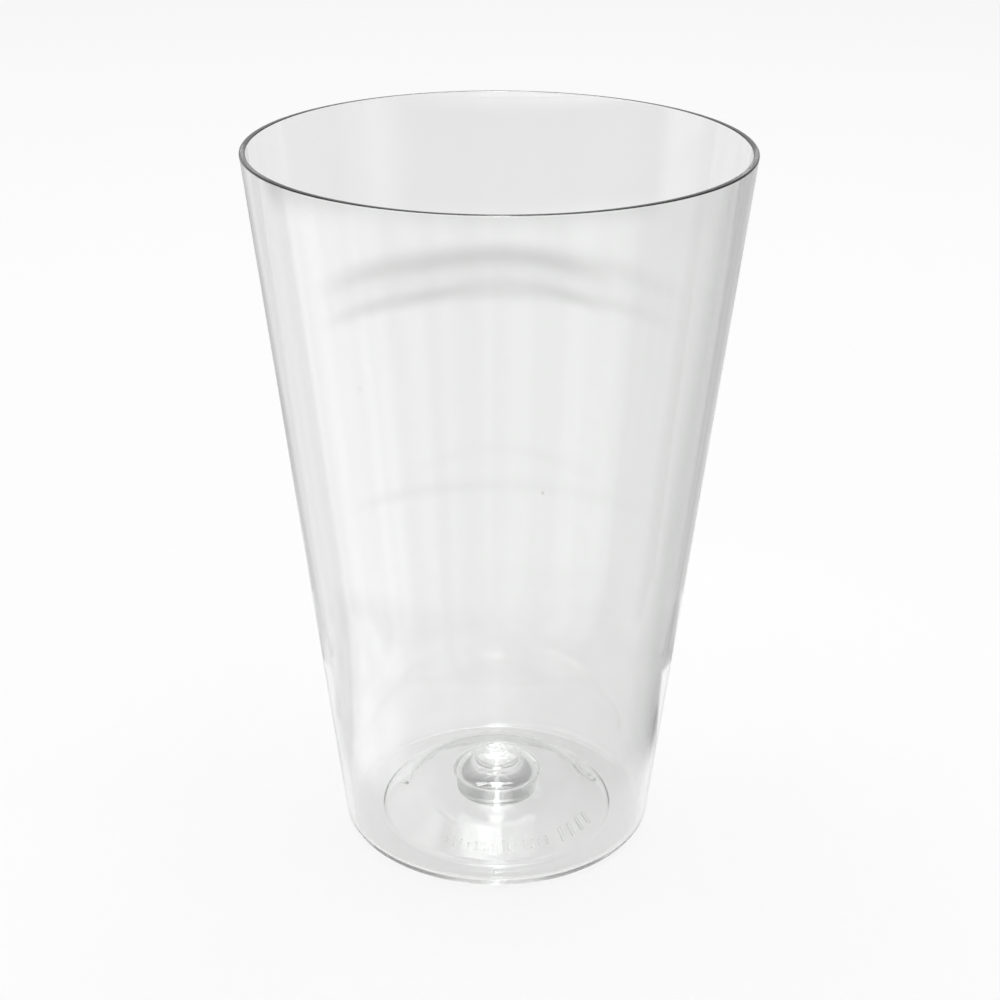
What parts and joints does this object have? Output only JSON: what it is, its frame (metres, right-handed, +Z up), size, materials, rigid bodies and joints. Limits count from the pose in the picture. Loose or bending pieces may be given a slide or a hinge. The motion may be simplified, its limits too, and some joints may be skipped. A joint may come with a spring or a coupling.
{
  "type": "plastic tumbler cup",
  "caption": "Clear plastic tumbler: straight tapered thin wall, rounded lip, foot ring, domed base and a solid centre boss and stub at the moulding gate.",
  "frame": {"origin": "centre of the foot ring, on the surface that the cup stands on", "axes": "+Z up along the cup's axis, towards the lip; the cup is turned about it, so X and Y are equal"},
  "size_m": [0.0898, 0.0898, 0.134],
  "materials": {
    "clear_plastic": "clear, colourless, smooth gloss moulded polystyrene"
  },
  "bodies": {
    "root": {"tumbler_cup": "clear_plastic"}
  },
  "joints": []
}
